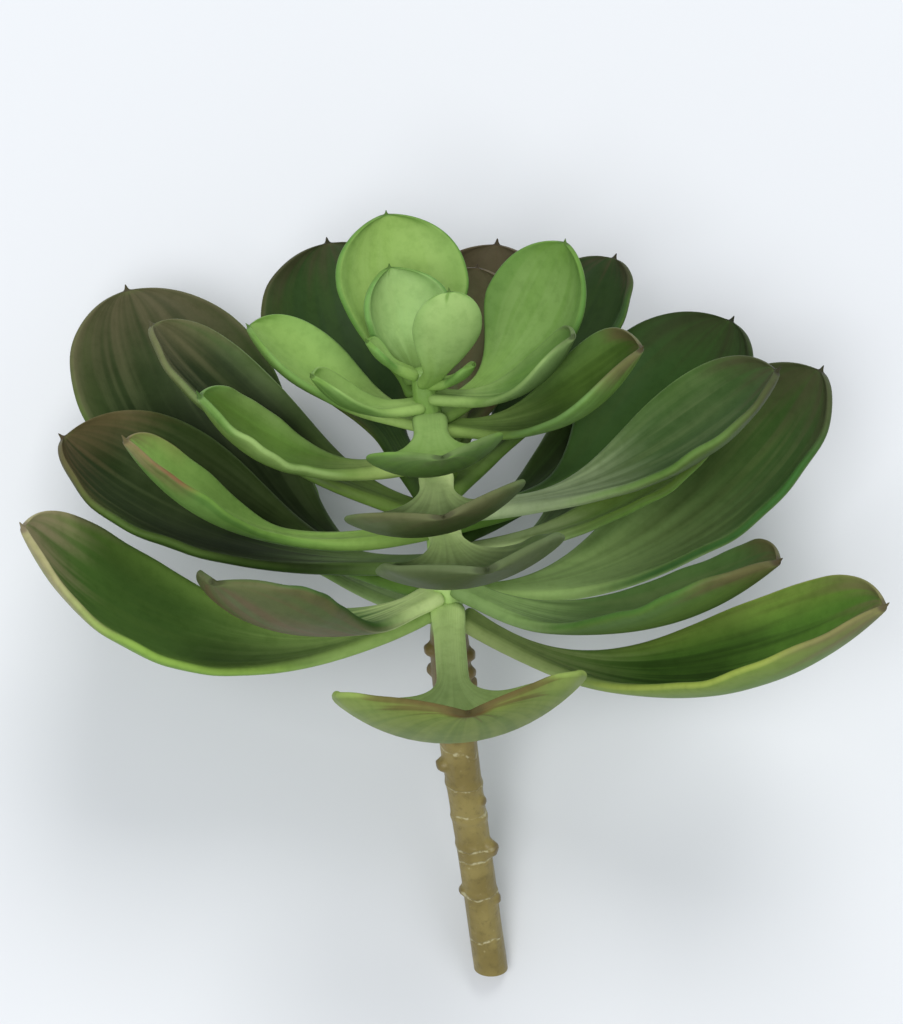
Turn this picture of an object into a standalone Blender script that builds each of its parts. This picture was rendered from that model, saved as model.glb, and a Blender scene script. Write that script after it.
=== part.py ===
"""A rosette succulent picked with a length of bare stem, laid on its back: one stem and one solid a leaf.

The plant is built upright in millimetres, with its stem along Z and its front towards -Y, then leaned back
on to the surface and turned into metres. Angles are degrees.
"""

import math

import bmesh
import bpy
from mathutils import Matrix, Vector

MM = 0.001
# How far the root of each leaf stays off the stem.
GAP = 0.6

# How it lies: the angle between the stem and the surface, the way it leans to one side, and where the
# foot of the plant comes, with the surface at 0 and the plant's outline centred.
LEAN = 33.0
ROLL = 0.0
PLACE = (-0.93, -5.35, 78.04)

# The stem, cut square across at its foot: height up the plant, how far it strays sideways, radius.
STEM = (
    (-134.5, 14.7, 5.7),
    (-127.0, 13.7, 5.6),
    (-106.0, 11.1, 5.6),
    (-104.0, 10.8, 6.0),
    (-102.0, 10.6, 5.6),
    (-88.0, 8.9, 5.7),
    (-86.0, 8.7, 6.1),
    (-84.0, 8.4, 5.7),
    (-77.0, 7.5, 5.8),
    (-75.0, 7.2, 6.2),
    (-73.0, 6.9, 5.8),
    (-65.0, 5.8, 5.9),
    (-63.0, 5.6, 6.3),
    (-61.0, 5.3, 5.9),
    (-49.0, 3.8, 6.1),
    (-36.0, 2.5, 6.3),
    (-22.0, 1.4, 6.5),
    (-12.0, 0.7, 6.3),
    (-5.0, 0.3, 5.6),
    (2.0, 0.0, 5.0),
    (30.0, -2.0, 4.8),
    (60.0, -4.5, 4.5),
    (74.0, -6.5, 4.1),
    (81.0, -7.6, 3.5),
    (84.0, -8.0, 2.4),
)
STEM_SIDES = 16

# Old leaf bases left on the stem: height, turn, how far they stand out, half width, half height.
NUBS = (
    (-15.0, -75.0, 2.0, 2.6, 2.2),
    (-17.0, 80.0, 1.8, 2.6, 2.2),
    (-23.0, 70.0, 1.7, 2.4, 2.0),
    (-28.0, 95.0, 1.6, 2.4, 2.0),
    (-24.0, -110.0, 1.7, 2.6, 2.2),
    (-33.0, 160.0, 1.6, 2.6, 2.2),
    (-41.0, -150.0, 1.6, 2.6, 2.2),
    (-57.0, -72.0, 2.4, 2.6, 2.4),
    (-70.0, 62.0, 1.2, 2.0, 1.8),
    (-80.0, 170.0, 1.4, 2.4, 2.0),
    (-88.0, 66.0, 2.6, 2.4, 3.2),
    (-93.0, -140.0, 1.4, 2.4, 2.0),
    (-105.0, -80.0, 1.0, 2.2, 1.8),
    (-108.0, 78.0, 1.1, 2.2, 1.8),
)

# A leaf's middle line is cut into this many steps to follow its curve.
STEPS = 120
# Where a leaf's cross sections stand along it, for long and short leaves.
LONG_ROWS = (0.0, 0.05, 0.11, 0.2, 0.32, 0.44, 0.56, 0.66, 0.75, 0.84, 0.91, 0.96, 0.99)
SHORT_ROWS = (0.0, 0.08, 0.2, 0.35, 0.5, 0.63, 0.75, 0.86, 0.94, 0.985)
SHORT = 75.0
# The little blunt point at the tip of a leaf: length, half width, half thickness.
POINT = (2.6, 0.8, 0.6)


def leaf(up, turn, rise, long, wide, cup, roll=0, neck=10, ease=1.3, stalk=0.2, belly=0.72, swing=0):
    """One leaf.

    up and turn say where it leaves the stem (0 is the front, 90 the right); rise is its climb at the root and
    at the tip, ease how late the climb comes; swing is how far its heading turns; long and wide its size, neck
    the width of its stalk; stalk and belly are where it starts and stops widening; cup is how far its sides
    curl up, roll how far it leans over sideways.
    """
    return {
        "up": up,
        "turn": turn,
        "rise": rise,
        "long": long,
        "wide": wide,
        "cup": cup,
        "roll": roll,
        "neck": neck,
        "ease": ease,
        "stalk": stalk,
        "belly": belly,
        "swing": swing,
    }


LEAVES = {
    # The lowest leaves, long and drooping before they climb. The two at the back carry the plant.
    "low_leaf_1": leaf(-1, -87, (-32, 64), 148, 60, 37, -9, ease=1.0, stalk=0.1, swing=9),
    "low_leaf_2": leaf(6, -57, (-13, 60), 88, 55, 44, 20, stalk=0.05),
    "low_leaf_3": leaf(2, 3, (-20, 54), 122, 85, 48, 4, stalk=0.25),
    "low_leaf_4": leaf(-3, 72, (-28, 50), 147, 64, 54, 2, ease=1.0, stalk=0.1),
    "low_leaf_5": leaf(5, 116, (-18, 62), 153, 63, 43, 6, ease=1.0, stalk=0.02, belly=0.75),
    "low_leaf_6": leaf(10.5, 142, (-10, 29), 135, 44, 40, stalk=0.3),
    "low_leaf_7": leaf(-3.7, -138, (-8, 32), 134, 50, 40, stalk=0.35),
    "low_leaf_8": leaf(5, -126, (-3, 65), 163, 73, 33, -13, stalk=0.13, swing=-19),
    # The next leaves up.
    "middle_leaf_1": leaf(8.5, 65, (-20, 48), 114, 53, 48, -8, ease=0.9, stalk=0.0, belly=0.76, swing=7),
    "middle_leaf_2": leaf(31, 9, (-2, 42), 88, 61, 38, 7, stalk=0.05),
    "middle_leaf_3": leaf(15, -105, (-8, 43), 130, 66, 48, -10, stalk=0.1),
    "middle_leaf_4": leaf(29, -76, (-9, 60), 107, 37, 55, 4, ease=1.2, stalk=0.4, belly=0.75, swing=-14),
    "middle_leaf_5": leaf(19, 101, (5, 50), 98, 20, 42, 10),
    "middle_leaf_6": leaf(29.3, 126, (-5, 54), 126, 64, 36, 7, stalk=0.28),
    "middle_leaf_7": leaf(24, 141, (-6, 45), 106, 27, 40, 5),
    "middle_leaf_8": leaf(34.5, 92, (3, 54), 114, 49, 52, 10),
    "middle_leaf_9": leaf(32.5, -118, (7, 51), 112, 41, 49, ease=1.4, stalk=0.08, swing=4),
    "middle_leaf_10": leaf(48.5, 2, (-9, 47), 73, 60, 40, 11, stalk=0.05),
    # The back leaves that stand up behind the heart.
    "back_leaf_1": leaf(37.5, -156, (8, 67), 107, 63, 40, -9, stalk=0.28),
    "back_leaf_2": leaf(40.2, 147, (6, 51), 112, 44, 53, swing=-4),
    "back_leaf_3": leaf(46, 165, (9, 74), 92, 51, 38, ease=1.4),
    "back_leaf_4": leaf(50.6, 167, (16, 79), 71, 43, 35, stalk=0.3, swing=-6),
    # The bright upper leaves.
    "upper_leaf_1": leaf(52, -82, (-10, 63), 78, 37, 48, -4),
    "upper_leaf_2": leaf(68, 4, (-16, 51), 62, 46, 45, 8, stalk=0.05),
    "upper_leaf_3": leaf(65, -111, (6, 50), 62, 35, 53, -6, stalk=0.0, belly=0.68, swing=14),
    "upper_leaf_4": leaf(67.4, 123, (15, 85), 70, 43, 36, 12, ease=1.2, belly=0.65, swing=-4),
    "upper_leaf_5": leaf(64, 79, (0, 64), 73, 49, 49, 10, stalk=0.05, swing=-7),
    "upper_leaf_6": leaf(71.5, -66, (0, 59), 39, 21, 55, -8, neck=8, stalk=0.0),
    "upper_leaf_7": leaf(74.5, 71, (2, 70), 54, 32, 40, 8, neck=8, stalk=0.05, belly=0.77, swing=-6),
    "upper_leaf_8": leaf(74.5, -162, (30, 84), 60, 49, 40, 8, ease=1.4, stalk=0.0, belly=0.61),
    # The small leaves of the heart.
    "heart_leaf_1": leaf(79.3, -150, (49, 83), 35, 37, 67, neck=7, ease=1.4, stalk=0.0, belly=0.58),
    "heart_leaf_2": leaf(81.5, 28, (46, 104), 38, 23, 43, -16, neck=7, ease=1.5, stalk=0.05, belly=0.62, swing=-8),
    "heart_leaf_3": leaf(82.8, -72, (29, 60), 18, 12, 50, -12, neck=6),
    "heart_leaf_4": leaf(79.5, 63, (12, 63), 16, 10, 47, neck=6),
}

COLOURS = {
    "stem": (0.28, 0.24, 0.10),
    "low_leaf": (0.06, 0.14, 0.05),
    "middle_leaf": (0.07, 0.16, 0.05),
    "back_leaf": (0.05, 0.11, 0.04),
    "upper_leaf": (0.20, 0.38, 0.09),
    "heart_leaf": (0.30, 0.50, 0.15),
}


def smooth(low, high, x):
    """A soft step from 0 at low to 1 at high."""
    u = min(max((x - low) / (high - low), 0.0), 1.0)
    return u * u * (3.0 - 2.0 * u)


def stem_at(up):
    """The stem's middle and radius at a height."""
    for (z0, x0, r0), (z1, x1, r1) in zip(STEM, STEM[1:]):
        if z0 <= up <= z1:
            u = (up - z0) / (z1 - z0)
            return Vector((x0 + (x1 - x0) * u, 0.0, up)), r0 + (r1 - r0) * u
    raise ValueError("height is off the stem")


def axes(shape, s):
    """A leaf's directions at s from 0 at the root to 1 at the tip: along it, across it, out of its top."""
    start, end = shape["rise"]
    rise = math.radians(start + (end - start) * s ** shape["ease"])
    turn = math.radians(shape["turn"] + shape["swing"] * s * s)
    along = Vector((math.cos(rise) * math.sin(turn), -math.cos(rise) * math.cos(turn), math.sin(rise)))
    across = Vector((math.cos(turn), math.sin(turn), 0.0))
    lean = Matrix.Rotation(math.radians(shape["roll"]) * smooth(0.0, 0.6, s), 3, along)
    across = lean @ across
    return along, across, along.cross(across)


def half_thickness(shape, s):
    """Half a leaf's thickness: stout at the stalk, thin at the tip."""
    stout = 1.0 if shape["long"] > SHORT else 0.75
    return stout * (2.4 - 0.8 * smooth(0.05, 0.5, s) - 0.5 * smooth(0.7, 1.0, s))


def half_width(shape, s):
    """Half a leaf's width: pinched at the root, a narrow stalk, a wide belly and a round end."""
    narrow, wide, belly = shape["neck"] / 2, shape["wide"] / 2, shape["belly"]
    if s > belly:
        end = (s - belly) / (1.0 - belly)
        return wide * math.sqrt(1.0 - end**2.3)
    root = 0.6 + 0.4 * smooth(0.0, 12.0, s * shape["long"])
    return root * narrow + (wide - narrow) * smooth(shape["stalk"], belly, s)


def middle_line(shape):
    """Points along the middle of a leaf, from just off the stem to the tip."""
    middle, radius = stem_at(shape["up"])
    turn = math.radians(shape["turn"])
    along = axes(shape, 0.0)[0]
    root = radius + GAP + half_thickness(shape, 0.0) * abs(along.z)
    points = [middle + root * Vector((math.sin(turn), -math.cos(turn), 0.0))]
    step = shape["long"] / STEPS
    for i in range(STEPS):
        points.append(points[-1] + step * axes(shape, (i + 0.5) / STEPS)[0])
    return points


def section(point, shape, s, wide, thick):
    """A ring of twelve points round a leaf, curled up at both sides."""
    across, top = axes(shape, s)[1:]
    curl = math.radians(shape["cup"]) * (0.3 + 0.7 * smooth(0.1, 0.55, s))
    shoulder = 1.0 - 0.35 * min(thick / wide, 1.0)
    upper = ((1.0, 0.0), (shoulder, 0.75), (0.5, 1.0), (0.0, 1.0), (-0.5, 1.0), (-shoulder, 0.75))
    ring = []
    for out, height in upper + tuple((-out, -height) for out, height in upper):
        angle = curl * out
        base = point + (across * math.sin(angle) + top * (1.0 - math.cos(angle))) * wide / curl
        ring.append(base + (top * math.cos(angle) - across * math.sin(angle)) * height * thick)
    return ring


def leaf_rings(shape):
    """Every ring of one leaf, from its root to the blunt point at its tip."""
    points = middle_line(shape)
    rows = LONG_ROWS if shape["long"] > SHORT else SHORT_ROWS
    rings = []
    for s in rows:
        place = s * STEPS
        before = min(int(place), STEPS - 1)
        point = points[before].lerp(points[before + 1], place - before)
        rings.append(section(point, shape, s, half_width(shape, s), half_thickness(shape, s)))
    length, wide, thick = POINT
    along = axes(shape, 1.0)[0]
    for out in (0.0, length):
        rings.append(section(points[-1] + along * out, shape, 1.0, wide, thick))
    return rings


def skin(mesh, rings):
    """Joins rings of points into one closed skin with flat ends."""
    loops = [[mesh.verts.new(point) for point in ring] for ring in rings]
    count = len(loops[0])
    for low, high in zip(loops, loops[1:]):
        for i in range(count):
            j = (i + 1) % count
            mesh.faces.new((low[i], low[j], high[j], high[i]))
    mesh.faces.new(loops[0])
    mesh.faces.new(loops[-1])
    bmesh.ops.recalc_face_normals(mesh, faces=mesh.faces)


def finish(mesh, name, materials):
    """Lays a part down, turns it into metres and makes it a named object with its material."""
    bmesh.ops.transform(mesh, matrix=lay_down(), verts=mesh.verts)
    bmesh.ops.triangulate(mesh, faces=mesh.faces)
    data = bpy.data.meshes.new(name)
    mesh.to_mesh(data)
    mesh.free()
    part = bpy.data.objects.new(name, data)
    bpy.context.collection.objects.link(part)
    kind = name.rstrip("0123456789").rstrip("_")
    data.materials.append(materials[kind])
    return part


def make_materials():
    """A plain satin material for the stem and for each kind of leaf."""
    materials = {}
    for kind, colour in COLOURS.items():
        material = bpy.data.materials.new(kind)
        material.use_nodes = True
        shader = material.node_tree.nodes["Principled BSDF"]
        shader.inputs["Base Color"].default_value = (*colour, 1.0)
        shader.inputs["Roughness"].default_value = 0.5
        materials[kind] = material
    return materials


def lay_down():
    """The move from the upright plant in millimetres to the one lying on the surface in metres."""
    back = Matrix.Rotation(math.radians(LEAN - 90.0), 4, "X")
    sideways = Matrix.Rotation(math.radians(ROLL), 4, "Y")
    return Matrix.Scale(MM, 4) @ Matrix.Translation(PLACE) @ sideways @ back


def stem_rings():
    """Level rings up the stem."""
    rings = []
    for up, out, radius in STEM:
        ring = []
        for i in range(STEM_SIDES):
            angle = 2.0 * math.pi * i / STEM_SIDES
            ring.append(Vector((out + radius * math.cos(angle), radius * math.sin(angle), up)))
        rings.append(ring)
    return rings


def nub_rings(up, turn, out, wide, high):
    """An old leaf base: a short stub that starts inside the stem and tapers to a blunt end."""
    middle, radius = stem_at(up)
    turn = math.radians(turn)
    away = Vector((math.sin(turn), -math.cos(turn), 0.0))
    side = Vector((math.cos(turn), math.sin(turn), 0.0))
    rings = []
    for reach, size in ((radius - 2.5, 1.0), (radius + 0.5 * out, 0.95), (radius + out, 0.6)):
        ring = []
        for i in range(8):
            angle = 2.0 * math.pi * i / 8
            level = Vector((0.0, 0.0, 0.25 * reach + size * high * math.sin(angle)))
            ring.append(middle + away * reach + side * size * wide * math.cos(angle) + level)
        rings.append(ring)
    return rings


def solid(name, rings):
    """A closed object from rings, still upright in millimetres."""
    mesh = bmesh.new()
    skin(mesh, rings)
    data = bpy.data.meshes.new(name)
    mesh.to_mesh(data)
    mesh.free()
    part = bpy.data.objects.new(name, data)
    bpy.context.collection.objects.link(part)
    return part


def join_nub(stem, nub):
    """Fuses an old leaf base into the stem."""
    union = stem.modifiers.new("union", "BOOLEAN")
    union.operation = "UNION"
    union.solver = "EXACT"
    union.object = nub
    with bpy.context.temp_override(object=stem):
        bpy.ops.object.modifier_apply(modifier=union.name)
    bpy.data.objects.remove(nub)


def make_stem(materials):
    """The whole stem with its old leaf bases."""
    rough = solid("rough_stem", stem_rings())
    for number, nub in enumerate(NUBS):
        join_nub(rough, solid(f"nub_{number}", nub_rings(*nub)))
    mesh = bmesh.new()
    mesh.from_mesh(rough.data)
    bpy.data.objects.remove(rough)
    return finish(mesh, "stem", materials)


def make_leaf(name, shape, materials):
    """One leaf."""
    mesh = bmesh.new()
    skin(mesh, leaf_rings(shape))
    return finish(mesh, name, materials)


def main():
    for old in list(bpy.data.objects):
        bpy.data.objects.remove(old)
    materials = make_materials()
    make_stem(materials)
    for name, shape in LEAVES.items():
        make_leaf(name, shape, materials)


main()
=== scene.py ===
"""A rosette succulent picked with a length of bare stem and laid on its back.

The plant is shaped upright in millimetres, with its stem along Z and its front towards -Y, then leaned
back on to the surface and turned into metres, as its solids are. Angles are degrees.
"""

import math

import bmesh
import bpy
from mathutils import Matrix, Vector


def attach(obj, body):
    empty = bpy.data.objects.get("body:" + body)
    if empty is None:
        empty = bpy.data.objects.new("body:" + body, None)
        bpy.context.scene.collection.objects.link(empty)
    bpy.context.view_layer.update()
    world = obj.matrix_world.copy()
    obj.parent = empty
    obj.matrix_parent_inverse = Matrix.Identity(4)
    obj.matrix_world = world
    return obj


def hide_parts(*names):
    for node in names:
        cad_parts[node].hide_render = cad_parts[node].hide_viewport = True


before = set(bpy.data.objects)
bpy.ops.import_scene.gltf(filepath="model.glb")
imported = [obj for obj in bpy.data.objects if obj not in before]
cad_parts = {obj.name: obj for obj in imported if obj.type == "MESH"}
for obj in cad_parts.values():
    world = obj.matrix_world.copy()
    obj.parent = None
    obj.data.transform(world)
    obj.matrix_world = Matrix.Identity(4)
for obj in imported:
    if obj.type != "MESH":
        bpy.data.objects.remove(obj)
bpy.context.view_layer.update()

MM = 0.001

# How it lies: the angle between the stem and the surface, and where the foot of the plant comes.
LEAN = 33.0
PLACE = (-0.93, -5.35, 78.04)

# A leaf that rests on the surface is flat there, this far up in metres.
REST = 0.00001

# Points of a skin closer together than this become one.
MERGE = 0.0001

# The stem: height up the plant, how far it strays sideways, radius.
STEM = (
    (-134.5, 14.7, 5.7),
    (-127.0, 13.7, 5.6),
    (-106.0, 11.1, 5.6),
    (-104.0, 10.8, 6.0),
    (-102.0, 10.6, 5.6),
    (-88.0, 8.9, 5.7),
    (-86.0, 8.7, 6.1),
    (-84.0, 8.4, 5.7),
    (-77.0, 7.5, 5.8),
    (-75.0, 7.2, 6.2),
    (-73.0, 6.9, 5.8),
    (-65.0, 5.8, 5.9),
    (-63.0, 5.6, 6.3),
    (-61.0, 5.3, 5.9),
    (-49.0, 3.8, 6.1),
    (-36.0, 2.5, 6.3),
    (-22.0, 1.4, 6.5),
    (-12.0, 0.7, 6.3),
    (-5.0, 0.3, 5.6),
    (2.0, 0.0, 5.0),
    (30.0, -2.0, 4.8),
    (60.0, -4.5, 4.5),
    (74.0, -6.5, 4.1),
    (81.0, -7.6, 3.5),
    (84.0, -8.0, 2.4),
)
# Rows of faces up the stem, faces round it, and how near its top the row is that closes it to a point.
STEM_ROWS = 300
STEM_SIDES = 72
TOP_ROW = 0.1

# The stem's fine ridges: how many go round it, how they wind as they climb, how high they stand. They fade
# out over this much of its foot.
RIDGES = ((5.0, 0.06, 0.12), (11.0, -0.21, 0.08))
RIDGES_FADE = 8.0

# Old leaf bases left on the stem: height, turn, how far they stand out, half width, half height.
NUBS = (
    (-15.0, -75.0, 2.0, 2.6, 2.2),
    (-17.0, 80.0, 1.8, 2.6, 2.2),
    (-23.0, 70.0, 1.7, 2.4, 2.0),
    (-28.0, 95.0, 1.6, 2.4, 2.0),
    (-24.0, -110.0, 1.7, 2.6, 2.2),
    (-33.0, 160.0, 1.6, 2.6, 2.2),
    (-41.0, -150.0, 1.6, 2.6, 2.2),
    (-57.0, -72.0, 2.4, 2.6, 2.4),
    (-70.0, 62.0, 1.2, 2.0, 1.8),
    (-80.0, 170.0, 1.4, 2.4, 2.0),
    (-88.0, 66.0, 2.6, 2.4, 3.2),
    (-93.0, -140.0, 1.4, 2.4, 2.0),
    (-105.0, -80.0, 1.0, 2.2, 1.8),
    (-108.0, 78.0, 1.1, 2.2, 1.8),
)
# A leaf base sits this much of the stem's radius above its height. Then, in half widths from its middle: from
# where to where it slopes down into the stem, and from where to where its brown fades.
NUB_RAISED = 0.25
NUB_SLOPES = (0.45, 1.35)
SCAR_FADES = (0.3, 1.1)

# Where thin ring scars go round the bare stem; each is a groove with a painted pale glint.
RINGS = (-121.0, -104.0, -91.0, -86.0, -75.0, -63.0, -50.0)

# A leaf's middle line is cut into this many steps to follow its curve.
STEPS = 120
# Rows of faces from a leaf's root to its widest place, rows from there to its tip, and faces round it.
STALK_ROWS = 26
END_ROWS = 18
AROUND = 32

# Leaves no longer than this are thinner, have smaller points and don't wave.
SHORT = 75.0
THINNER = 0.75
SMALL_POINT = 0.65

# How far the root of each leaf stays off the stem, and how far its foot goes into the stem.
GAP = 0.6
SUNK = 3.0

# Half a leaf's thickness at its root, and how much it loses from one place along the leaf to another.
THICK = 2.4
THINNING = ((0.8, 0.05, 0.5), (0.5, 0.7, 1.0))

# How much a leaf's foot spreads beyond its stalk, how far up the spread goes, and how blunt its end is.
FOOT_SPREAD = 0.12
FOOT_LONG = 9.0
BLUNT = 2.3

# From where to where along a leaf it leans over and curls up, and how much of the curl its stalk has.
LEANS = (0.0, 0.6)
CURLS = (0.1, 0.55)
STALK_CURL = 0.3
# The least radius of the turn over a leaf's margin.
LEAST_TURN = 0.01

# The waves in the margins of the long leaves: how high they are, how fast the long and the short ones run,
# and from where to where along a leaf they grow and die away.
WAVE = 0.7
LONG_WAVE = 17.0
SHORT_WAVE = 41.0
WAVES_GROW = (0.35, 0.6)
WAVES_END = (1.0, 0.9)

# The little horny point at the tip: how far out, half width, half thickness.
POINT = ((0.0, 1.1, 0.8), (0.5, 0.7, 0.55), (1.2, 0.42, 0.38), (1.8, 0.25, 0.25), (2.1, 0.1, 0.1))


def leaf(up, turn, rise, long, wide, cup, roll=0, neck=10, ease=1.3, stalk=0.2, belly=0.72, swing=0):
    """One leaf's shape.

    up and turn say where it leaves the stem (0 is the front, 90 the right); rise is its climb at the root
    and at the tip, ease how late the climb comes; swing is how far its heading turns; long and wide its
    size, neck the width of its stalk; stalk and belly are where it starts and stops widening; cup is how
    far its sides curl up, roll how far it leans over sideways.
    """
    return {
        "up": up,
        "turn": turn,
        "rise": rise,
        "long": long,
        "wide": wide,
        "cup": cup,
        "roll": roll,
        "neck": neck,
        "ease": ease,
        "stalk": stalk,
        "belly": belly,
        "swing": swing,
    }


LEAVES = {
    # The lowest leaves, long and drooping before they climb. The two at the back carry the plant.
    "low_leaf_1": leaf(-1, -87, (-32, 64), 148, 60, 37, -9, ease=1.0, stalk=0.1, swing=9),
    "low_leaf_2": leaf(6, -57, (-13, 60), 88, 55, 44, 20, stalk=0.05),
    "low_leaf_3": leaf(2, 3, (-20, 54), 122, 85, 48, 4, stalk=0.25),
    "low_leaf_4": leaf(-3, 72, (-28, 50), 147, 64, 54, 2, ease=1.0, stalk=0.1),
    "low_leaf_5": leaf(5, 116, (-18, 62), 153, 63, 43, 6, ease=1.0, stalk=0.02, belly=0.75),
    "low_leaf_6": leaf(10.5, 142, (-10, 29), 135, 44, 40, stalk=0.3),
    "low_leaf_7": leaf(-3.7, -138, (-8, 32), 134, 50, 40, stalk=0.35),
    "low_leaf_8": leaf(5, -126, (-3, 65), 163, 73, 33, -13, stalk=0.13, swing=-19),
    # The next leaves up.
    "middle_leaf_1": leaf(8.5, 65, (-20, 48), 114, 53, 48, -8, ease=0.9, stalk=0.0, belly=0.76, swing=7),
    "middle_leaf_2": leaf(31, 9, (-2, 42), 88, 61, 38, 7, stalk=0.05),
    "middle_leaf_3": leaf(15, -105, (-8, 43), 130, 66, 48, -10, stalk=0.1),
    "middle_leaf_4": leaf(29, -76, (-9, 60), 107, 37, 55, 4, ease=1.2, stalk=0.4, belly=0.75, swing=-14),
    "middle_leaf_5": leaf(19, 101, (5, 50), 98, 20, 42, 10),
    "middle_leaf_6": leaf(29.3, 126, (-5, 54), 126, 64, 36, 7, stalk=0.28),
    "middle_leaf_7": leaf(24, 141, (-6, 45), 106, 27, 40, 5),
    "middle_leaf_8": leaf(34.5, 92, (3, 54), 114, 49, 52, 10),
    "middle_leaf_9": leaf(32.5, -118, (7, 51), 112, 41, 49, ease=1.4, stalk=0.08, swing=4),
    "middle_leaf_10": leaf(48.5, 2, (-9, 47), 73, 60, 40, 11, stalk=0.05),
    # The back leaves that stand up behind the heart.
    "back_leaf_1": leaf(37.5, -156, (8, 67), 107, 63, 40, -9, stalk=0.28),
    "back_leaf_2": leaf(40.2, 147, (6, 51), 112, 44, 53, swing=-4),
    "back_leaf_3": leaf(46, 165, (9, 74), 92, 51, 38, ease=1.4),
    "back_leaf_4": leaf(50.6, 167, (16, 79), 71, 43, 35, stalk=0.3, swing=-6),
    # The bright upper leaves.
    "upper_leaf_1": leaf(52, -82, (-10, 63), 78, 37, 48, -4),
    "upper_leaf_2": leaf(68, 4, (-16, 51), 62, 46, 45, 8, stalk=0.05),
    "upper_leaf_3": leaf(65, -111, (6, 50), 62, 35, 53, -6, stalk=0.0, belly=0.68, swing=14),
    "upper_leaf_4": leaf(67.4, 123, (15, 85), 70, 43, 36, 12, ease=1.2, belly=0.65, swing=-4),
    "upper_leaf_5": leaf(64, 79, (0, 64), 73, 49, 49, 10, stalk=0.05, swing=-7),
    "upper_leaf_6": leaf(71.5, -66, (0, 59), 39, 21, 55, -8, neck=8, stalk=0.0),
    "upper_leaf_7": leaf(74.5, 71, (2, 70), 54, 32, 40, 8, neck=8, stalk=0.05, belly=0.77, swing=-6),
    "upper_leaf_8": leaf(74.5, -162, (30, 84), 60, 49, 40, 8, ease=1.4, stalk=0.0, belly=0.61),
    # The small leaves of the heart.
    "heart_leaf_1": leaf(79.3, -150, (49, 83), 35, 37, 67, neck=7, ease=1.4, stalk=0.0, belly=0.58),
    "heart_leaf_2": leaf(
        81.5, 28, (46, 104), 38, 23, 43, -16, neck=7, ease=1.5, stalk=0.05, belly=0.62, swing=-8
    ),
    "heart_leaf_3": leaf(82.8, -72, (29, 60), 18, 12, 50, -12, neck=6),
    "heart_leaf_4": leaf(79.5, 63, (12, 63), 16, 10, 47, neck=6),
}


def coat(
    blade, light, margin, tip, stalk, under, streaks=0.6, tip_from=0.85, edge=0.7, fade=0.5, rim_from=0.3
):
    """How one leaf is coloured, in screen reds, greens and blues from 0 to 255.

    blade and light are the skin and its long streaks, and streaks how strongly they show; margin colours
    the edge from rim_from on, as far as edge says, in a thin line and a soft band that is partly painted
    sheen;
    tip comes in from tip_from on; stalk colours the foot as far up as fade, painted paler than its own pale
    green to make up for the shade near the stem; under is the underside.
    """
    return {
        "blade": blade,
        "light": light,
        "margin": margin,
        "tip": tip,
        "stalk": stalk,
        "under": under,
        "streaks": streaks,
        "tip_from": tip_from,
        "edge": edge,
        "fade": fade,
        "rim_from": rim_from,
    }


# Colours that several leaves share.
NIGHT = (36, 50, 20)
DARK = (54, 78, 32)
DEEP = (60, 96, 32)
MOSS = (88, 114, 50)
GREEN = (106, 142, 64)
BRIGHT = (138, 170, 90)
PALE = (152, 180, 110)
GREY_GREEN = (92, 108, 66)
# The stalks' pale sage, painted paler to make up for the shade near the stem.
SAGE_PAINTED_FILL = (212, 232, 160)
BROWN = (96, 82, 56)
RED = (88, 60, 38)
YELLOW = (164, 176, 84)
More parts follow.
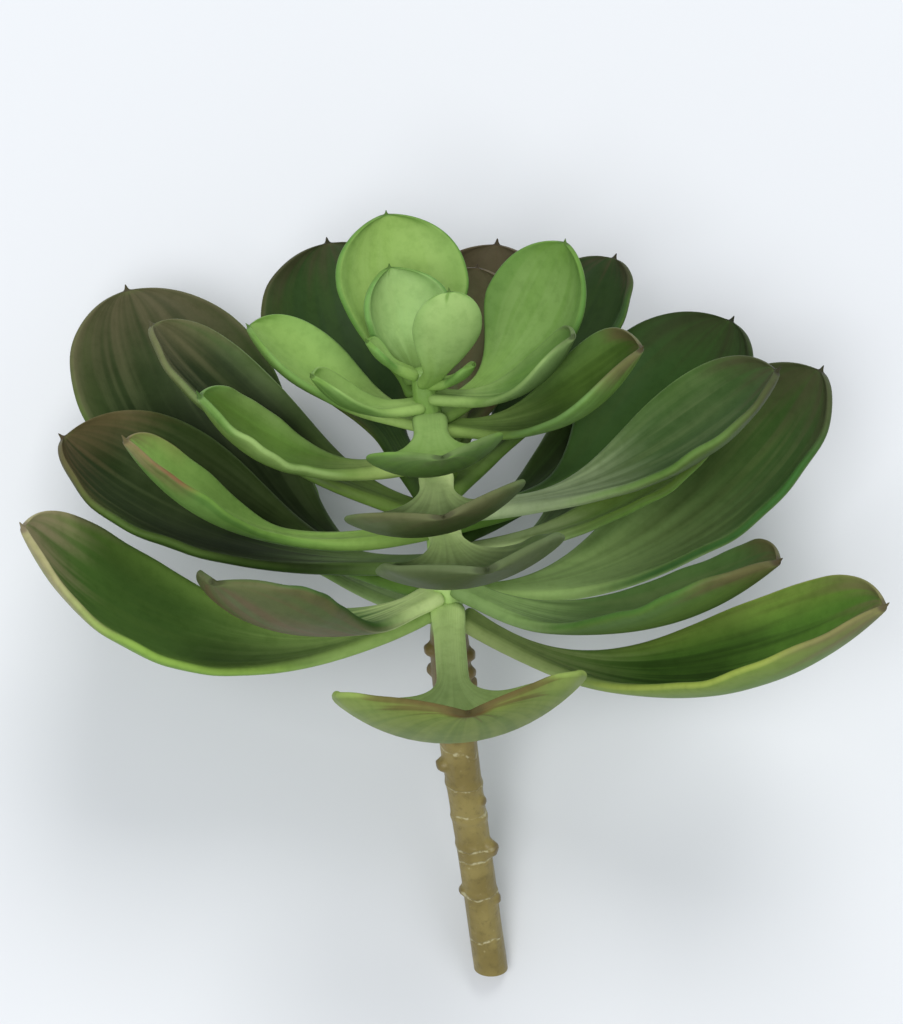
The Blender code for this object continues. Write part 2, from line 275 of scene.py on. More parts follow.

# Each leaf's blade, light, margin, tip, stalk and underside, and what else sets it apart. The stalk colours
# are painted paler than the stalks' own pale green, to make up for the shade near the stem.
COATS = {
    "low_leaf_1": coat(
        (76, 108, 48), (84, 114, 52), (144, 178, 80), (168, 152, 122), (140, 168, 92), (118, 154, 68),
        streaks=0.7, tip_from=0.78, fade=0.6,
    ),
    "low_leaf_2": coat(
        (62, 112, 52), DEEP, (76, 104, 54), (92, 98, 62), SAGE_PAINTED_FILL, (100, 90, 62),
        streaks=0.7, fade=0.4,
    ),
    "low_leaf_3": coat(
        DEEP, (142, 164, 84), RED, (100, 92, 52), (192, 216, 142), (118, 134, 66),
        streaks=0.1, tip_from=0.99, edge=0.9, fade=0.8, rim_from=0.95,
    ),
    "low_leaf_4": coat(
        (86, 124, 48), DARK, YELLOW, (116, 104, 76), (150, 166, 104), (100, 128, 60),
        streaks=0.7, tip_from=0.82, edge=0.6, fade=0.45,
    ),
    "low_leaf_5": coat(
        (58, 84, 38), (82, 100, 54), (56, 100, 44), (74, 72, 50), (172, 204, 124), MOSS,
        tip_from=0.8, edge=0.8, fade=0.76,
    ),
    "low_leaf_6": coat(DARK, GREY_GREEN, GREEN, BROWN, PALE, MOSS),
    "low_leaf_7": coat(DARK, GREY_GREEN, GREEN, BROWN, PALE, MOSS),
    "low_leaf_8": coat(
        (40, 54, 24), (66, 80, 46), MOSS, (98, 92, 68), GREEN, MOSS,
        streaks=0.7, tip_from=0.74, edge=0.6, fade=0.35,
    ),
    "middle_leaf_1": coat(
        (72, 98, 52), GREY_GREEN, (78, 116, 52), BROWN, (132, 160, 98), MOSS,
        streaks=0.5, tip_from=0.86, fade=0.4,
    ),
    "middle_leaf_2": coat(
        (84, 106, 62), GREY_GREEN, (104, 122, 80), (84, 96, 62), SAGE_PAINTED_FILL, (88, 100, 62),
        fade=0.6,
    ),
    "middle_leaf_3": coat(
        NIGHT, (64, 76, 44), MOSS, BROWN, (104, 130, 70), DARK,
        streaks=0.7, tip_from=0.82, edge=0.6, fade=0.45,
    ),
    "middle_leaf_4": coat(
        (142, 178, 92), GREEN, (124, 88, 62), (126, 118, 78), (122, 152, 74), (74, 110, 50),
        streaks=0.3, tip_from=0.93, edge=0.8, fade=0.6, rim_from=0.8,
    ),
    "middle_leaf_5": coat(
        (104, 132, 56), GREEN, MOSS, BROWN, (180, 198, 140), GREEN,
        streaks=0.4,
    ),
    "middle_leaf_6": coat(
        (50, 78, 34), DARK, DEEP, (48, 50, 30), GREEN, MOSS,
        tip_from=0.76, edge=0.3, fade=0.4,
    ),
    "middle_leaf_7": coat(NIGHT, DARK, MOSS, BROWN, DARK, NIGHT),
    "middle_leaf_8": coat(
        (56, 80, 40), (84, 102, 62), GREEN, (66, 62, 44), (184, 202, 154), (88, 108, 58),
        tip_from=0.84, edge=0.4, fade=0.6,
    ),
    "middle_leaf_9": coat(
        (34, 46, 20), (62, 74, 42), (108, 132, 76), (104, 100, 72), (112, 138, 66), MOSS,
        streaks=0.5, tip_from=0.76, edge=1.0,
    ),
    "middle_leaf_10": coat(
        (86, 104, 60), GREY_GREEN, (98, 116, 70), (92, 92, 62), SAGE_PAINTED_FILL, (82, 96, 56),
        fade=0.6,
    ),
    "back_leaf_1": coat(
        (46, 68, 34), DARK, BROWN, (66, 64, 44), (72, 98, 42), MOSS,
        streaks=0.4, tip_from=0.86, edge=0.3, fade=0.4,
    ),
    "back_leaf_2": coat(
        (44, 64, 32), DARK, (58, 92, 44), (70, 66, 46), (112, 142, 68), MOSS,
        streaks=0.4, tip_from=0.92, edge=0.4, fade=0.4,
    ),
    "back_leaf_3": coat(
        (90, 88, 64), BROWN, BROWN, (84, 74, 56), MOSS, MOSS,
        streaks=0.4, tip_from=0.7,
    ),
    "back_leaf_4": coat(
        (94, 96, 68), BROWN, BROWN, (92, 82, 62), MOSS, MOSS,
        streaks=0.4, tip_from=0.7,
    ),
    "upper_leaf_1": coat(
        (90, 120, 50), GREEN, PALE, (92, 130, 60), (150, 172, 98), (108, 134, 66),
        streaks=0.5, tip_from=0.9,
    ),
    "upper_leaf_2": coat(
        GREEN, BRIGHT, GREEN, (96, 116, 70), (138, 168, 98), (88, 116, 62),
        streaks=0.3, tip_from=0.95, fade=0.6,
    ),
    "upper_leaf_3": coat(
        (136, 170, 90), BRIGHT, (108, 146, 74), GREEN, (164, 194, 110), (84, 116, 50),
        streaks=0.3, tip_from=0.95,
    ),
    "upper_leaf_4": coat(
        (108, 142, 70), (132, 160, 96), (80, 122, 54), GREEN, (128, 160, 82), MOSS,
        streaks=0.3, tip_from=0.94,
    ),
    "upper_leaf_5": coat(
        (62, 86, 32), (88, 116, 50), (108, 142, 80), BROWN, (140, 168, 90), GREEN,
        tip_from=0.88,
    ),
    "upper_leaf_6": coat(
        (134, 168, 88), PALE, (140, 172, 98), GREEN, (154, 184, 106), (84, 120, 54),
        streaks=0.3, tip_from=0.95,
    ),
    "upper_leaf_7": coat(
        (84, 116, 54), GREEN, (132, 158, 96), GREY_GREEN, (144, 172, 100), (100, 128, 72),
        streaks=0.4, tip_from=0.94,
    ),
    "upper_leaf_8": coat(
        (140, 172, 90), (150, 180, 104), (86, 130, 58), GREEN, (92, 122, 56), GREEN,
        streaks=0.4, tip_from=0.97,
    ),
    "heart_leaf_1": coat(
        (150, 182, 114), PALE, (98, 144, 70), GREEN, (104, 132, 68), (110, 144, 76),
        streaks=0.3, tip_from=0.97,
    ),
    "heart_leaf_2": coat(
        (150, 182, 108), GREEN, (96, 142, 66), GREEN, BRIGHT, (152, 182, 110),
        streaks=0.4, tip_from=0.97,
    ),
    "heart_leaf_3": coat(
        (138, 172, 96), PALE, (100, 146, 70), GREEN, BRIGHT, (112, 148, 76),
        streaks=0.3, tip_from=0.97,
    ),
    "heart_leaf_4": coat(
        (132, 166, 88), PALE, (108, 148, 74), GREEN, BRIGHT, (114, 150, 76),
        streaks=0.3, tip_from=0.97,
    ),
}

# How bright the horny point is beside the tip, and what the skin's fine specks leave of its colour.
HORN_BRIGHT = 0.7
SPECKS = (0.35, 0.45, 0.25, 1.0)

# The colours of the stem and of the floor.
BARK = (144, 130, 76)
BARK_PATCHES = (124, 110, 60)
BARK_FLECKS = (100, 88, 48)
BARK_DUST = (190, 182, 136)
# The pale glint painted along the ring scars.
RING_GLINTS = (196, 190, 150)
BARK_UPPER = (98, 82, 44)
# The young skin's pale greens, painted paler still to make up for the shade the leaves cast on the stem.
YOUNG_PALE_PAINTED_FILL = (204, 232, 152)
YOUNG_GREEN_PAINTED_FILL = (178, 214, 124)
YOUNG_TOP = (124, 158, 80)
SCARS = (108, 92, 50)
PAPER = (217, 220, 225)
PAPER_CLOUDS = (222, 224, 228)

# Gloss and roughness of each skin. The wax's roughness goes from one to the other with its mottle.
WAX_GLOSS = 0.09
WAX_ROUGH = (0.42, 0.56)
STEM_GLOSS = 0.35
STEM_ROUGH = 0.38
PAPER_ROUGH = 0.8

# Noises: scale, detail, roughness. The first two are laid out over each leaf, the others over the room.
LEAF_BROAD = (1.0, 1.5, 0.5)
LEAF_FINE = (3.0, 2.0, 0.5)
LEAF_MOTTLE = (40.0, 4.0, 0.6)
LEAF_SPECKLE = (260.0, 3.0, 0.6)
LEAF_GRAIN = (1100.0, 3.0, 0.6)
STEM_BROAD = (60.0, 3.0, 0.55)
STEM_FINE = (420.0, 4.0, 0.6)
STEM_GRAIN = (1200.0, 3.0, 0.6)
PAPER_CLOUDY = (2.0, 2.0, 0.5)

# From which to which level of its noise each mark comes and, where two more numbers follow, from which to
# which share of it shows, or for the wax which roughness it has.
STREAK_LEVELS = (0.58, 0.84)
CLOUD_LEVELS = (0.42, 0.72)
SPECK_LEVELS = (0.4, 0.75, 0.0, 0.22)
WAX_LEVELS = (0.2, 0.8, *WAX_ROUGH)
PATCH_LEVELS = (0.35, 0.65)
FLECK_LEVELS = (0.5, 0.72, 0.0, 0.45)
DUST_LEVELS = (0.36, 0.24, 0.0, 0.4)
RING_LEVELS = (0.42, 0.6, 0.0, 0.7)
YOUNG_LEVELS = (0.3, 0.7)
SCAR_LEVELS = (0.25, 0.5, 0.45, 0.95)

# How much shows of a leaf's clouds, of the streaks on its underside, of the edge's soft band, partly painted
# sheen, and the thin line of its edge, of its tip's colour and its horny point's, and of the colour of the
# upper bark.
CLOUD_SHARE = 0.35
UNDER_SHARE = 0.35
MARGIN_SHEEN_SHARE = 0.4
LINE_SHARE = 0.8
TIP_SHARE = 0.75
HORN_SHARE = 0.85
UPPER_SHARE = 0.8

# How much the fine noise adds to the streaks, and how much speckle and grain add to the relief of each skin.
STREAK_FINE = 0.35
WAX_SPECKLE = 0.3
WAX_GRAIN = 0.12
BARK_GRAIN = 0.25

# How strong the small relief of each skin is, and how deep in metres.
WAX_RELIEF = (0.3, 0.0007)
STEM_RELIEF = (0.4, 0.0006)

# How wide and how long a streak is, and how far apart the noise is on a leaf's two sides and on one leaf and
# the next.
STREAK_WIDE = 4.5
STREAK_LONG = 110.0
SIDES_APART = 0.6
LEAVES_APART = 3.7

# From where to where along a leaf, from 0 at its root to 1 at its tip: the streaks come and go, the edge's
# colour comes and then covers the whole end, the horny point comes.
STREAKS_COME = (0.2, 0.42)
STREAKS_GO = (0.96, 0.8)
RIM_COMES = (0.18, 0.42)
RIM_ROUND_END = (0.986, 0.999)
HORN_COMES = (0.996, 1.0)
# Where the stalk's colour is full, where the tip's is, and how gently the edge's own colour comes.
STALK_FULL = 0.08
TIP_FULL = 1.05
RIM_GENTLY = 0.05
# How far the borders of the stalk's and the tip's colours wander, and how far the tip's colour runs back at
# the margins.
WANDER = 0.35
RUN_BACK = 0.08

# From where to where across a leaf, from 0 in its middle to 1 at its margin: the edge's soft band, partly
# painted sheen, the thin line of the edge, and the part where the tip's colour runs back.
MARGIN_SHEEN = (0.5, 0.95)
LINE = (0.965, 0.998)
RUNS_BACK = (0.5, 1.0)
# From where to where round a leaf the colour of its top turns into that of its underside: 1 is the middle of
# the top, 0 the margins, -1 the middle of the underside.
UNDER = (0.05, -0.15)

# From which height to which the old bark gets browner, the bark turns into young skin, and the young skin
# gets darker. All but the last wander up and down by BARK_WANDER.
BARK_BROWNER = (-40.0, -24.0)
BARK_ENDS = (-4.0, 10.0)
YOUNG_DARKER = (46.0, 66.0)
BARK_WANDER = 12.0
# How far from a ring's middle its painted glint and its groove fade, out to in.
RING_FADES = (0.65, 0.1)

# The camera in the upright plant's frame: how far it looks down, how far off it stands, how far to the right
# and how far up its line of sight passes height 0 of the stem, its lens, the nearest and farthest it sees.
CAMERA_TILT = 25.0
CAMERA_AWAY = 1100.0
CAMERA_SIDE = 1.44
CAMERA_RAISED = 31.36
LENS = 120.85
SENSOR = 36.0
NEAREST = 0.01
FARTHEST = 50.0

# The studio in metres: half the floor's side, the sky, the point that the lamps shine at, and each lamp's
# name, place, size, power and colour.
FLOOR = 6.0
SKY = (0.93, 0.97, 1.0, 1.0)
SKY_STRENGTH = 0.5
LIT = (0.0, 0.0, 0.1)
LAMPS = (
    ("top_lamp", (0.4, 2.0, 3.0), 1.5, 56.0, (1.0, 0.99, 0.97)),
    ("front_lamp", (-0.6, -0.8, 3.2), 1.6, 56.0, (1.0, 1.0, 1.0)),
)


def smooth(low, high, x):
    """A soft step from 0 at low to 1 at high."""
    u = min(max((x - low) / (high - low), 0.0), 1.0)
    return u * u * (3.0 - 2.0 * u)


def lay_down():
    """The move from the upright plant in millimetres to the one lying on the surface in metres."""
    back = Matrix.Rotation(math.radians(LEAN - 90.0), 4, "X")
    return Matrix.Scale(MM, 4) @ Matrix.Translation(PLACE) @ back


def stem_at(up):
    """The stem's middle and radius at a height."""
    for (z0, x0, r0), (z1, x1, r1) in zip(STEM, STEM[1:]):
        if z0 <= up <= z1:
            u = (up - z0) / (z1 - z0)
            return Vector((x0 + (x1 - x0) * u, 0.0, up)), r0 + (r1 - r0) * u
    raise ValueError("height is off the stem")


def finish_piece(mesh, name, material):
    """Makes a mesh a smooth piece of the plant that stands for the solid of the same name."""
    for face in mesh.faces:
        face.smooth = True
    data = bpy.data.meshes.new(name + "_skin")
    mesh.to_mesh(data)
    mesh.free()
    data.materials.append(material)
    piece = bpy.data.objects.new(name + "_skin", data)
    bpy.context.scene.collection.objects.link(piece)
    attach(piece, "root")
    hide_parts(name)
    return piece


# Leaf shapes


def axes(shape, s):
    """A leaf's directions at s from 0 at the root to 1 at the tip: along it, across it, out of its top."""
    start, end = shape["rise"]
    rise = math.radians(start + (end - start) * s ** shape["ease"])
    turn = math.radians(shape["turn"] + shape["swing"] * s * s)
    along = Vector((math.cos(rise) * math.sin(turn), -math.cos(rise) * math.cos(turn), math.sin(rise)))
    across = Vector((math.cos(turn), math.sin(turn), 0.0))
    lean = Matrix.Rotation(math.radians(shape["roll"]) * smooth(*LEANS, s), 3, along)
    across = lean @ across
    return along, across, along.cross(across)


def half_thickness(shape, s):
    """Half a leaf's thickness: stout at the stalk, thin at the tip."""
    stout = 1.0 if shape["long"] > SHORT else THINNER
    thick = THICK
    for lost, start, end in THINNING:
        thick -= lost * smooth(start, end, s)
    return stout * thick


def half_width(shape, s):
    """Half a leaf's width: a broad foot, a narrow stalk, a wide belly and a round end."""
    narrow, wide, belly = shape["neck"] / 2, shape["wide"] / 2, shape["belly"]
    if s > belly:
        end = (s - belly) / (1.0 - belly)
        return wide * math.sqrt(max(1.0 - end**BLUNT, 0.0))
    foot = 1.0 + FOOT_SPREAD - FOOT_SPREAD * smooth(0.0, FOOT_LONG, s * shape["long"])
    return foot * narrow + (wide - narrow) * smooth(shape["stalk"], belly, s)


def middle_line(shape):
    """Points along the middle of a leaf, from the stem to the tip."""
    middle, radius = stem_at(shape["up"])
    turn = math.radians(shape["turn"])
    along = axes(shape, 0.0)[0]
    root = radius + GAP + half_thickness(shape, 0.0) * abs(along.z)
    points = [middle + root * Vector((math.sin(turn), -math.cos(turn), 0.0))]
    stride = shape["long"] / STEPS
    for i in range(STEPS):
        points.append(points[-1] + stride * axes(shape, (i + 0.5) / STEPS)[0])
    return points


def stations(shape):
    """Where a leaf's rings stand: s, how far beyond that place, half width, half thickness."""
    wide, thick = half_width(shape, 0.0), half_thickness(shape, 0.0)
    rings = [(0.0, -SUNK, 0.0, 0.0), (0.0, -SUNK, wide, thick)]
    belly = shape["belly"]
    for i in range(STALK_ROWS):
        s = belly * i / STALK_ROWS
        rings.append((s, 0.0, half_width(shape, s), half_thickness(shape, s)))
    for i in range(END_ROWS):
        s = belly + (1.0 - belly) * math.sin(0.5 * math.pi * i / END_ROWS)
        rings.append((s, 0.0, half_width(shape, s), half_thickness(shape, s)))
    small = 1.0 if shape["long"] > SHORT else SMALL_POINT
    for out, wide, thick in POINT:
        rings.append((1.0, small * out, small * wide, small * thick))
    rings.append((1.0, small * POINT[-1][0], 0.0, 0.0))
    return rings


def wave(shape, s, side):
    """How high a long leaf waves at s, and at side from -1 at its left margin to 1 at its right."""
    # Both waves run aslant over the blade, and the short ones are half as high.
    ripple = math.sin(LONG_WAVE * s + shape["turn"] + 2.0 * side)
    ripple += 0.5 * math.sin(SHORT_WAVE * s + shape["up"] - side)
    return WAVE * ripple * abs(side) ** 3 * smooth(*WAVES_GROW, s) * smooth(*WAVES_END, s)


def ring_point(shape, line, station, angle):
    """A point of the ring at a station: angle 0 is the right margin, 90 the top, 180 the left margin."""
    s, out, wide, thick = station
    place = s * STEPS
    before = min(int(place), STEPS - 1)
    along, across, top = axes(shape, s)
    point = line[before].lerp(line[before + 1], place - before) + along * out
    if wide == 0.0:
        return point
    side = math.cos(angle)
    # The skin is level over the blade and turns over the margin in a half round.
    inward = (1.0 - abs(side)) * wide / max(min(thick, wide), LEAST_TURN)
    height = math.sqrt(max(1.0 - (1.0 - min(inward, 1.0)) ** 2, 0.0))
    height = math.copysign(height, math.sin(angle)) * thick
    if shape["long"] > SHORT:
        height += wave(shape, s, side)
    curl = math.radians(shape["cup"]) * (STALK_CURL + (1.0 - STALK_CURL) * smooth(*CURLS, s))
    bend = curl * side
    base = point + (across * math.sin(bend) + top * (1.0 - math.cos(bend))) * wide / curl
    return base + (top * math.cos(bend) - across * math.sin(bend)) * height


def make_leaf(name, shape, material):
    """One leaf: a sheet rolled round into a closed skin, with where each point lies kept for its colours."""
    line = middle_line(shape)
    rings = stations(shape)
    mesh = bmesh.new()
    along = mesh.verts.layers.float.new("along")
    across = mesh.verts.layers.float.new("across")
    face = mesh.verts.layers.float.new("top")
    rows = len(rings) - 1
    bmesh.ops.create_grid(mesh, x_segments=rows, y_segments=AROUND, size=1.0)
    for vert in mesh.verts:
        station = rings[round((vert.co.x + 1.0) / 2.0 * rows)]
        angle = math.pi * (vert.co.y + 1.0)
        vert[along] = station[0]
        vert[across] = math.cos(angle)
        vert[face] = math.sin(angle)
        vert.co = ring_point(shape, line, station, angle)
    bmesh.ops.remove_doubles(mesh, verts=mesh.verts, dist=MERGE)
    bmesh.ops.transform(mesh, matrix=lay_down(), verts=mesh.verts)
    for vert in mesh.verts:
        vert.co.z = max(vert.co.z, REST)
    bmesh.ops.recalc_face_normals(mesh, faces=mesh.faces)
    piece = finish_piece(mesh, name, material)
    finer = piece.modifiers.new("finer", "SUBSURF")
    finer.levels = finer.render_levels = 1


# The stem


def stem_swell(up, turn, radius):
    """How far the stem's skin stands out at a height and turn, and how much of that is an old leaf base."""
    ridges = 0.0
    for count, wind, stands in RIDGES:
        ridges += stands * math.sin(count * turn + wind * up)
    swell = ridges * smooth(STEM[0][0], STEM[0][0] + RIDGES_FADE, up)
    scar = 0.0
    for height, heading, out, wide, high in NUBS:
        sideways = (turn - math.radians(heading) + math.pi) % (2.0 * math.pi) - math.pi
        off = math.hypot((up - height - NUB_RAISED * radius) / high, sideways * radius / wide)
        swell = max(swell, out * (1.0 - smooth(*NUB_SLOPES, off)))
        scar = max(scar, 1.0 - smooth(*SCAR_FADES, off))
    return swell, scar


def make_stem(material):
    """The whole stem, cut square across at its foot."""
    low, high = STEM[0][0], STEM[-1][0]
    mesh = bmesh.new()
    height = mesh.verts.layers.float.new("height")
    scarred = mesh.verts.layers.float.new("scar")
    bmesh.ops.create_grid(mesh, x_segments=STEM_ROWS, y_segments=STEM_SIDES, size=1.0)
    for vert in mesh.verts:
        up = low + (high - low) * (vert.co.x + 1.0) / 2.0
        turn = math.pi * vert.co.y
        middle, radius = stem_at(up)
        swell, scar = stem_swell(up, turn, radius)
        reach = radius + swell if up < high - TOP_ROW else 0.0
        vert[height] = up
        vert[scarred] = scar
        vert.co = middle + reach * Vector((math.sin(turn), -math.cos(turn), 0.0))
    bmesh.ops.remove_doubles(mesh, verts=mesh.verts, dist=MERGE)
    rim = [edge for edge in mesh.edges if edge.is_boundary]
    bmesh.ops.holes_fill(mesh, edges=rim, sides=0)
    for edge in rim:
        edge.smooth = False
    bmesh.ops.transform(mesh, matrix=lay_down(), verts=mesh.verts)
    bmesh.ops.recalc_face_normals(mesh, faces=mesh.faces)
    finish_piece(mesh, "stem", material)


# Materials


def screen(colour):
    """A colour on screen, 0 to 255, as the light that a shader needs."""
    return (*(((c / 255.0 + 0.055) / 1.055) ** 2.4 if c > 10 else c / 3294.6 for c in colour), 1.0)


def add(tree, kind, inputs=None, **settings):
    """Adds a node with its settings, and feeds its sockets with numbers or with other nodes' results."""
    made = tree.nodes.new(kind)
    for key, value in settings.items():
        setattr(made, key, value)
    for socket, value in (inputs or {}).items():
        if isinstance(value, bpy.types.NodeSocket):
            tree.links.new(value, made.inputs[socket])
        else:
            made.inputs[socket].default_value = value
    return made


def kept(tree, name):
    """A number kept on the mesh."""
    return add(tree, "ShaderNodeAttribute", attribute_name=name).outputs["Fac"]


def sum_of(tree, kind, first, second=0.0, third=0.0):
    """A sum, a product or the like of numbers."""
    return add(tree, "ShaderNodeMath", {0: first, 1: second, 2: third}, operation=kind).outputs[0]


def step(tree, value, low, high, start=0.0, end=1.0):
    """A soft step of a number."""
    sockets = {"Value": value, "From Min": low, "From Max": high, "To Min": start, "To Max": end}
    return add(tree, "ShaderNodeMapRange", sockets, interpolation_type="SMOOTHSTEP").outputs["Result"]


def over(tree, share, under, paint, kind="MIX"):
    """One colour laid over another as far as share says."""
    mixed = add(tree, "ShaderNodeMix", {"Factor": share}, data_type="RGBA", blend_type=kind)
    for socket, value in ((mixed.inputs[6], under), (mixed.inputs[7], paint)):
        if isinstance(value, bpy.types.NodeSocket):
            tree.links.new(value, socket)
        else:
            socket.default_value = value
    return mixed.outputs[2]


def noise(tree, place, scale, detail, rough):
    """Cloudy noise from 0 to 1."""
    sockets = {"Vector": place, "Scale": scale, "Detail": detail, "Roughness": rough}
    return add(tree, "ShaderNodeTexNoise", sockets).outputs["Fac"]


def blank_material(name, settings):
    """A new material with only its shader, and what is the same all over it."""
    material = bpy.data.materials.new(name)
    material.use_nodes = True
    shader = material.node_tree.nodes["Principled BSDF"]
    for socket, value in settings.items():
        shader.inputs[socket].default_value = value
    return material, material.node_tree, shader


def emboss(tree, shader, relief, strength, depth):
    """Gives a skin its small relief."""
    bump = add(tree, "ShaderNodeBump", {"Strength": strength, "Distance": depth, "Height": relief})
    tree.links.new(bump.outputs[0], shader.inputs["Normal"])


def leaf_sheet(tree, shape, seed, along, across, top):
    """Each point's place for noise that follows the leaf, and that differs from leaf to leaf."""
    sockets = {
        "X": sum_of(tree, "MULTIPLY", across, 0.5 * shape["wide"] / STREAK_WIDE),
        "Y": sum_of(tree, "MULTIPLY", along, shape["long"] / STREAK_LONG),
        "Z": sum_of(tree, "MULTIPLY_ADD", top, SIDES_APART, LEAVES_APART * seed),
    }
    return add(tree, "ShaderNodeCombineXYZ", sockets).outputs[0]


def blade_colour(tree, paint, along, top, streak, mottle):
    """The skin between a leaf's margins, with long soft streaks on top and fainter ones underneath."""
    on_blade = sum_of(tree, "MULTIPLY", step(tree, along, *STREAKS_COME), step(tree, along, *STREAKS_GO))
    share = sum_of(tree, "MULTIPLY", streak, sum_of(tree, "MULTIPLY", on_blade, paint["streaks"]))
    upper = over(tree, share, screen(paint["blade"]), screen(paint["light"]))
    cloud = sum_of(tree, "MULTIPLY", step(tree, mottle, *CLOUD_LEVELS), CLOUD_SHARE)
    upper = over(tree, cloud, upper, screen(paint["light"]))
    faint = sum_of(tree, "MULTIPLY", streak, UNDER_SHARE)
    lower = over(tree, faint, screen(paint["under"]), screen(paint["blade"]))
    return over(tree, step(tree, top, *UNDER), upper, lower)


def rim_and_sheen_share(tree, along, out):
    """How much of the edge's colour shows: a soft band that is partly painted sheen, a thin line along the
    margins, the end.
    """
    line = step(tree, out, *LINE, 0.0, LINE_SHARE)
    # The soft band along the margins: the edge's own colour and a painted sheen.
    rim = sum_of(tree, "MULTIPLY_ADD", step(tree, out, *MARGIN_SHEEN), MARGIN_SHEEN_SHARE, line)
    rim = sum_of(tree, "MAXIMUM", rim, step(tree, along, *RIM_ROUND_END))
    return sum_of(tree, "MULTIPLY", rim, step(tree, along, *RIM_COMES))


def leaf_material(name, shape, paint, seed):
    """The waxy skin of one leaf."""
    material, tree, shader = blank_material(name + "_wax", {"Specular IOR Level": WAX_GLOSS})
    along, across, top = (kept(tree, key) for key in ("along", "across", "top"))
    out = sum_of(tree, "ABSOLUTE", across)
    room = add(tree, "ShaderNodeTexCoord").outputs["Object"]
    sheet = leaf_sheet(tree, shape, seed, along, across, top)
    broad, fine = (noise(tree, sheet, *kind) for kind in (LEAF_BROAD, LEAF_FINE))
    mottle, speckle, grain = (noise(tree, room, *kind) for kind in (LEAF_MOTTLE, LEAF_SPECKLE, LEAF_GRAIN))
    streak = step(tree, sum_of(tree, "MULTIPLY_ADD", fine, STREAK_FINE, broad), *STREAK_LEVELS)
    colour = blade_colour(tree, paint, along, top, streak, mottle)
    # The stalk and the tip have wandering borders, and the edge lies between them.
    wander = sum_of(tree, "MULTIPLY_ADD", sum_of(tree, "SUBTRACT", broad, 0.5), WANDER, along)
    # The stalk's colour is painted paler than its own pale green, to make up for the shade near the stem.
    colour = over(tree, step(tree, wander, paint["fade"], STALK_FULL), colour, screen(paint["stalk"]))
    late = step(tree, along, paint["rim_from"] - RIM_GENTLY, paint["rim_from"] + RIM_GENTLY)
    edge = over(tree, late, screen(paint["light"]), screen(paint["margin"]))
    colour = over(tree, sum_of(tree, "MULTIPLY", rim_and_sheen_share(tree, along, out), paint["edge"]), colour, edge)
    ended = sum_of(tree, "MULTIPLY_ADD", step(tree, out, *RUNS_BACK), RUN_BACK, wander)
    ended = step(tree, ended, paint["tip_from"], TIP_FULL, 0.0, TIP_SHARE)
    colour = over(tree, ended, colour, screen(paint["tip"]))
    # Fine darker specks all over, and the horny point.
    colour = over(tree, step(tree, speckle, *SPECK_LEVELS), colour, SPECKS, "MULTIPLY")
    horn = [HORN_BRIGHT * part for part in paint["tip"]]
    colour = over(tree, step(tree, along, *HORN_COMES, 0.0, HORN_SHARE), colour, screen(horn))
    tree.links.new(colour, shader.inputs["Base Color"])
    tree.links.new(step(tree, mottle, *WAX_LEVELS), shader.inputs["Roughness"])
    relief = sum_of(tree, "MULTIPLY_ADD", speckle, WAX_SPECKLE, broad)
    emboss(tree, shader, sum_of(tree, "MULTIPLY_ADD", grain, WAX_GRAIN, relief), *WAX_RELIEF)
    return material


def bark_colour(tree, broad, fine, wander, ringed):
    """Olive bark in patches, dark flecks, pale dust, rings with a painted glint, browner just below the
    leaves.
    """
    bark = over(tree, step(tree, broad, *PATCH_LEVELS), screen(BARK), screen(BARK_PATCHES))
    bark = over(tree, step(tree, fine, *FLECK_LEVELS), bark, screen(BARK_FLECKS))
    bark = over(tree, step(tree, fine, *DUST_LEVELS), bark, screen(BARK_DUST))
    # A pale glint painted along the rings.
    patchy = step(tree, fine, *RING_LEVELS)
    bark = over(tree, sum_of(tree, "MULTIPLY", ringed, patchy), bark, screen(RING_GLINTS))
    return over(tree, step(tree, wander, *BARK_BROWNER, 0.0, UPPER_SHARE), bark, screen(BARK_UPPER))


def stem_material():
    """Green skin between the leaves, and below them an olive bark with brown scars and thin rings.

    The green skin is painted paler to make up for the shade the leaves cast on it, and the rings carry a
    painted pale glint.
    """
    settings = {"Roughness": STEM_ROUGH, "Specular IOR Level": STEM_GLOSS}
    material, tree, shader = blank_material("stem_skin", settings)
    height = kept(tree, "height")
    room = add(tree, "ShaderNodeTexCoord").outputs["Object"]
    broad, fine, grain = (noise(tree, room, *kind) for kind in (STEM_BROAD, STEM_FINE, STEM_GRAIN))
    wander = sum_of(tree, "MULTIPLY_ADD", broad, BARK_WANDER, height)
    ringed = 0.0
    for level in RINGS:
        off = sum_of(tree, "ABSOLUTE", sum_of(tree, "SUBTRACT", wander, level + 0.5 * BARK_WANDER))
        ringed = sum_of(tree, "MAXIMUM", ringed, step(tree, off, *RING_FADES))
    bark = bark_colour(tree, broad, fine, wander, ringed)
    # The young skin, painted paler than its own pale green to make up for the shade the leaves cast on it.
    young_skin_and_fill = over(tree, step(tree, broad, *YOUNG_LEVELS), screen(YOUNG_PALE_PAINTED_FILL), screen(YOUNG_GREEN_PAINTED_FILL))
    young_skin_and_fill = over(tree, step(tree, height, *YOUNG_DARKER), young_skin_and_fill, screen(YOUNG_TOP))
    colour = over(tree, step(tree, wander, *BARK_ENDS), bark, young_skin_and_fill)
    old = sum_of(tree, "MULTIPLY", kept(tree, "scar"), step(tree, fine, *SCAR_LEVELS))
    colour = over(tree, old, colour, screen(SCARS))
    tree.links.new(colour, shader.inputs["Base Color"])
    relief = sum_of(tree, "SUBTRACT", fine, ringed)
    emboss(tree, shader, sum_of(tree, "MULTIPLY_ADD", grain, BARK_GRAIN, relief), *STEM_RELIEF)
    return material


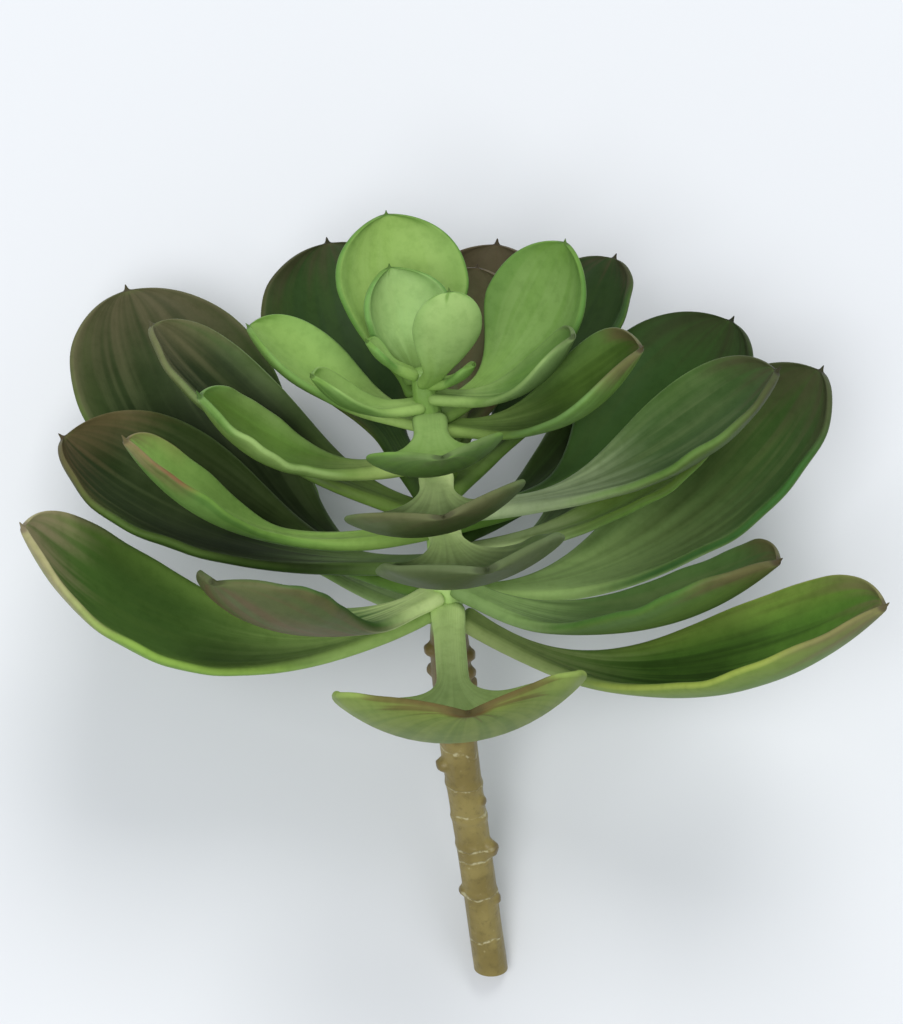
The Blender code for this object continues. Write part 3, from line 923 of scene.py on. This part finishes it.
def floor_material():
    """Pale paper with the faintest cloudiness."""
    material, tree, shader = blank_material("pale_paper", {"Roughness": PAPER_ROUGH})
    room = add(tree, "ShaderNodeTexCoord").outputs["Object"]
    colour = over(tree, noise(tree, room, *PAPER_CLOUDY), screen(PAPER), screen(PAPER_CLOUDS))
    tree.links.new(colour, shader.inputs["Base Color"])
    return material


# The studio


def make_floor():
    """A plain pale floor."""
    mesh = bmesh.new()
    bmesh.ops.create_grid(mesh, x_segments=1, y_segments=1, size=FLOOR)
    data = bpy.data.meshes.new("floor")
    mesh.to_mesh(data)
    mesh.free()
    data.materials.append(floor_material())
    floor = bpy.data.objects.new("floor", data)
    bpy.context.scene.collection.objects.link(floor)


def make_lamp(name, place, size, power, colour):
    """A soft square lamp that points at the middle of the plant."""
    lamp = bpy.data.lights.new(name, "AREA")
    lamp.size = size
    lamp.energy = power
    lamp.color = colour
    holder = bpy.data.objects.new(name, lamp)
    holder.location = place
    holder.rotation_euler = (Vector(LIT) - Vector(place)).to_track_quat("-Z", "Y").to_euler()
    bpy.context.scene.collection.objects.link(holder)


def make_lights():
    """Even pale light from all round, with a broad lamp from behind the plant and one from in front."""
    world = bpy.data.worlds.new("studio")
    world.use_nodes = True
    sky = world.node_tree.nodes["Background"]
    sky.inputs["Color"].default_value = SKY
    sky.inputs["Strength"].default_value = SKY_STRENGTH
    bpy.context.scene.world = world
    bpy.context.scene.view_settings.view_transform = "Standard"
    for lamp in LAMPS:
        make_lamp(*lamp)


def make_camera():
    """A camera that looks down on the plant from in front, as the photograph does."""
    tilt = math.radians(CAMERA_TILT)
    ahead = Vector((0.0, math.cos(tilt), -math.sin(tilt)))
    upward = Vector((0.0, math.sin(tilt), math.cos(tilt)))
    right = Vector((1.0, 0.0, 0.0))
    eye = -CAMERA_AWAY * ahead + CAMERA_RAISED * upward + CAMERA_SIDE * right
    down = lay_down()
    turned = Matrix([down.to_3x3() @ axis / MM for axis in (right, upward, -ahead)]).transposed()
    camera = bpy.data.cameras.new("camera")
    camera.lens = LENS
    camera.sensor_width = SENSOR
    camera.clip_start = NEAREST
    camera.clip_end = FARTHEST
    holder = bpy.data.objects.new("camera", camera)
    holder.matrix_world = Matrix.Translation(down @ eye) @ turned.to_4x4()
    bpy.context.scene.collection.objects.link(holder)
    bpy.context.scene.camera = holder


make_camera()
make_lights()
make_floor()
make_stem(stem_material())
for number, (leaf_name, leaf_shape) in enumerate(LEAVES.items()):
    wax = leaf_material(leaf_name, leaf_shape, COATS[leaf_name], number)
    make_leaf(leaf_name, leaf_shape, wax)
